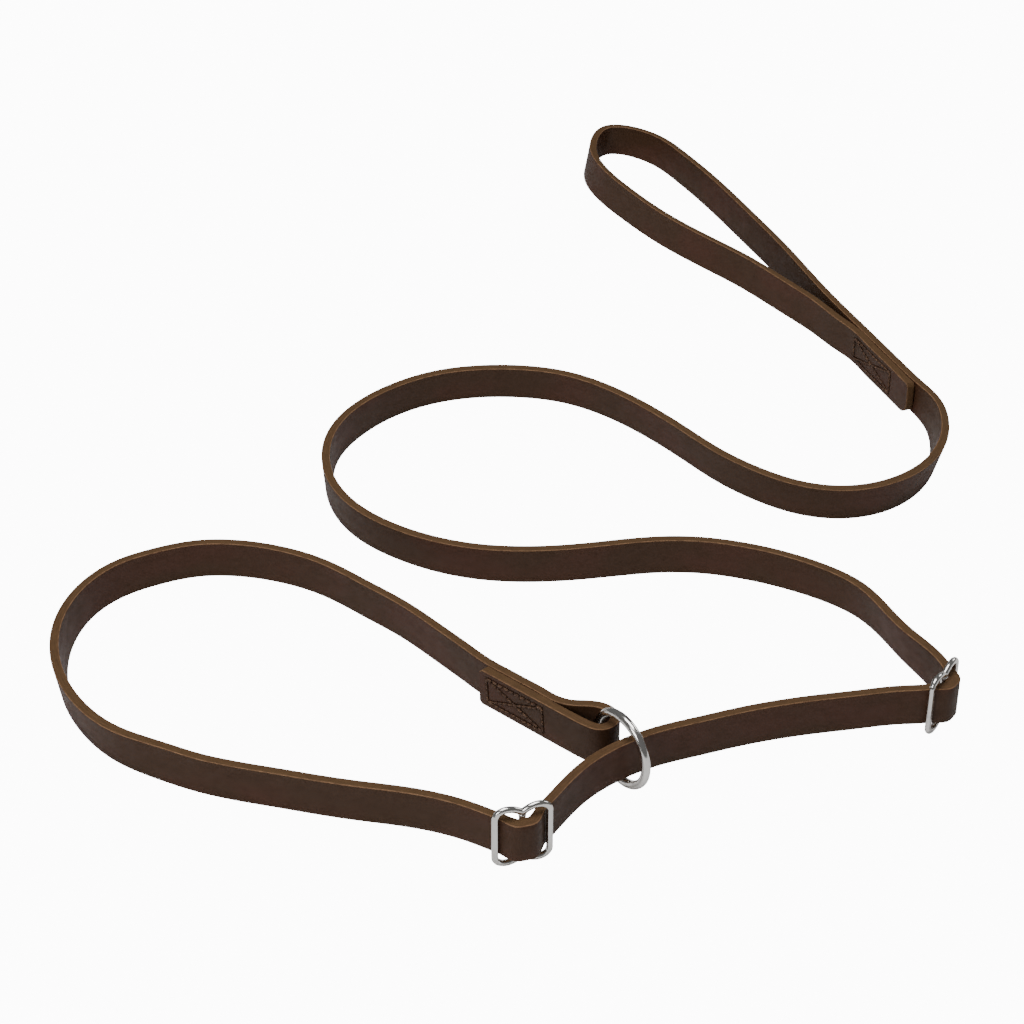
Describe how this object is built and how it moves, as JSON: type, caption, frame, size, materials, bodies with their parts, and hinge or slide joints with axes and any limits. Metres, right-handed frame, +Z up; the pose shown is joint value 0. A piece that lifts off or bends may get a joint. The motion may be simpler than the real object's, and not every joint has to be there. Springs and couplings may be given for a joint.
{
  "type": "training leash",
  "caption": "Leather slip lead on its edge: a sewn hand loop, a long strap, a neck loop closed through an O-ring, and wire slides as stops.",
  "frame": {"origin": "middle of the outline on the ground, under the lead as it lies", "axes": "+X to the right of the lead as laid, +Y from the neck loop towards the hand loop, +Z up"},
  "size_m": [0.3422, 0.532, 0.0294],
  "materials": {
    "leather": "waxed full-grain, cut edges bare",
    "nickel": "polished nickel plate",
    "thread": "waxed polyester thread"
  },
  "bodies": {
    "lead": {"strap_middle_run": "leather", "strap_at_lead_stop": "leather", "strap_slip_run": "leather", "strap_at_neck_stop": "leather", "strap_neck_near": "leather", "strap_neck_turn": "leather", "strap_neck_far": "leather", "strap_ring_fold": "leather", "ring_seam_needle_thread": "thread", "ring_seam_bobbin_thread": "thread"},
    "far_run": {"strap_far_run": "leather", "strap_far_turn": "leather"},
    "hand_loop": {"strap_hand_loop": "leather", "strap_hand_turn": "leather", "hand_seam_needle_thread": "thread", "hand_seam_bobbin_thread": "thread"},
    "ring": {"ring": "nickel"},
    "neck_stop": {"neck_stop_frame": "nickel", "neck_stop_bar": "nickel"},
    "lead_stop": {"lead_stop_frame": "nickel", "lead_stop_bar": "nickel"}
  },
  "joints": [
    {"name": "far_turn_bend", "type": "hinge", "parent": "lead", "child": "far_run", "pos_m": [-0.04, -0.03, 0], "axis": [0, 0, 1], "range_deg": [-8, 12], "deforming": ["strap_far_turn"]},
    {"name": "hand_turn_bend", "type": "hinge", "parent": "far_run", "child": "hand_loop", "pos_m": [0.128, -0.012, 0], "axis": [0, 0, 1], "range_deg": [-15, 15], "deforming": ["strap_hand_turn"]},
    {"name": "ring_swing", "type": "hinge", "parent": "lead", "child": "ring", "pos_m": [0.0231, -0.2089, 0.0147], "axis": [0, 0, 1], "range_deg": [-15, 10]},
    {"name": "neck_stop_slide", "type": "slide", "parent": "lead", "child": "neck_stop", "axis": [-0.9563, -0.2924, 0], "range_m": [-0.008, 0.008], "deforming": ["strap_at_neck_stop"]},
    {"name": "lead_stop_slide", "type": "slide", "parent": "lead", "child": "lead_stop", "axis": [-0.5592, -0.829, 0], "range_m": [-0.006, 0.006], "deforming": ["strap_at_lead_stop"]}
  ]
}
